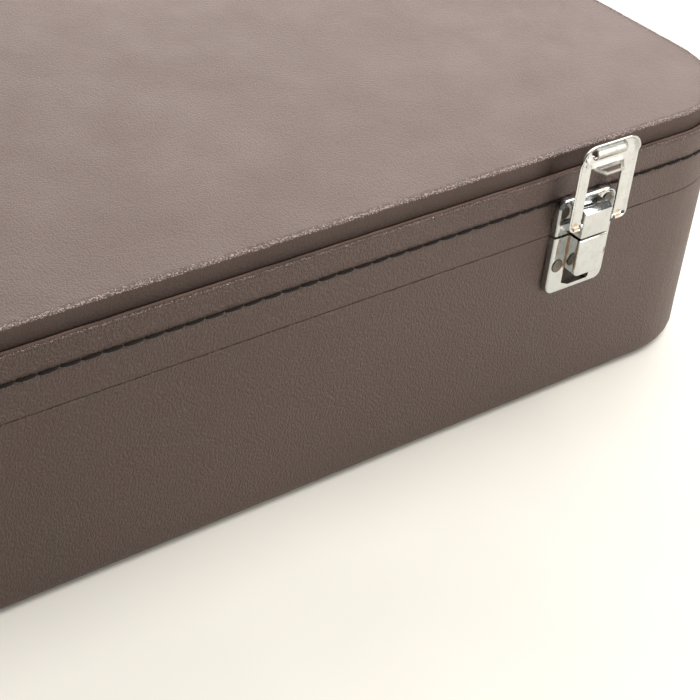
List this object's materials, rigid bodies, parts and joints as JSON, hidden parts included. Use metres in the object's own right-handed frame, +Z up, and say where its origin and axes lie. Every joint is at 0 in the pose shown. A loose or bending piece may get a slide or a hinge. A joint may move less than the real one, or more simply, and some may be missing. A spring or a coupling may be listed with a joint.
{
  "type": "type case",
  "caption": "Low covered carrying case with rounded corners, a sewn lid on back hinges, open snap hasps on the front and a compartment tray for type inside.",
  "frame": {"origin": "centre of the bounding box, on the face the case stands on", "axes": "+X along the front to the right, +Y from the latches at the front to the hinges at the back, +Z up"},
  "size_m": [0.4, 0.304, 0.0884],
  "materials": {
    "leathercloth": "fine pebble-grained brown leathercloth with worn edges",
    "thread": "dark waxed thread",
    "liner_board": "matte lining board",
    "tray_wood": "plain sanded softwood",
    "chrome_plate": "bright plate with light pitting and rubbing",
    "spring_steel": "plain spring steel",
    "rivet_metal": "dulled plated rivet"
  },
  "bodies": {
    "base": {"base_shell": "leathercloth", "base_liner": "liner_board", "tray_floor": "tray_wood", "tray_wall_front": "tray_wood", "tray_wall_back": "tray_wood", "tray_wall_left": "tray_wood", "tray_wall_right": "tray_wood", "divider_long_1": "tray_wood", "divider_long_2": "tray_wood", "divider_long_3": "tray_wood", "divider_cross_1": "tray_wood", "divider_cross_2": "tray_wood", "divider_cross_3": "tray_wood", "divider_cross_4": "tray_wood", "divider_cross_5": "tray_wood", "keeper_plate_left": "chrome_plate", "keeper_rivet_left_1": "rivet_metal", "keeper_rivet_left_2": "rivet_metal", "hinge_base_leaf_left": "chrome_plate", "hinge_base_rivet_left_1": "rivet_metal", "hinge_base_rivet_left_2": "rivet_metal", "hinge_pin_left": "spring_steel", "keeper_plate_right": "chrome_plate", "keeper_rivet_right_1": "rivet_metal", "keeper_rivet_right_2": "rivet_metal", "hinge_base_leaf_right": "chrome_plate", "hinge_base_rivet_right_1": "rivet_metal", "hinge_base_rivet_right_2": "rivet_metal", "hinge_pin_right": "spring_steel"},
    "lid": {"lid_band": "leathercloth", "lid_top": "leathercloth", "lid_liner": "liner_board", "lid_seam_thread": "thread", "lid_plate_left": "chrome_plate", "lid_plate_rivet_left_1": "rivet_metal", "lid_plate_rivet_left_2": "rivet_metal", "hasp_pin_left": "spring_steel", "hinge_lid_leaf_left": "chrome_plate", "hinge_lid_rivet_left_1": "rivet_metal", "hinge_lid_rivet_left_2": "rivet_metal", "lid_plate_right": "chrome_plate", "lid_plate_rivet_right_1": "rivet_metal", "lid_plate_rivet_right_2": "rivet_metal", "hasp_pin_right": "spring_steel", "hinge_lid_leaf_right": "chrome_plate", "hinge_lid_rivet_right_1": "rivet_metal", "hinge_lid_rivet_right_2": "rivet_metal"},
    "hasp_left": {"hasp_loop_left": "chrome_plate", "hasp_spring_left": "spring_steel"},
    "hasp_right": {"hasp_loop_right": "chrome_plate", "hasp_spring_right": "spring_steel"}
  },
  "joints": [
    {"name": "lid_hinge", "type": "hinge", "parent": "base", "child": "lid", "pos_m": [0, 0.1498, 0.05815], "axis": [-1, 0, 0], "range_deg": [0, 180]},
    {"name": "hasp_left_swing", "type": "hinge", "parent": "lid", "child": "hasp_left", "pos_m": [-0.125, -0.1479, 0.06275], "axis": [1, 0, 0], "range_deg": [0, 180]},
    {"name": "hasp_right_swing", "type": "hinge", "parent": "lid", "child": "hasp_right", "pos_m": [0.125, -0.1479, 0.06275], "axis": [1, 0, 0], "range_deg": [0, 180]}
  ]
}
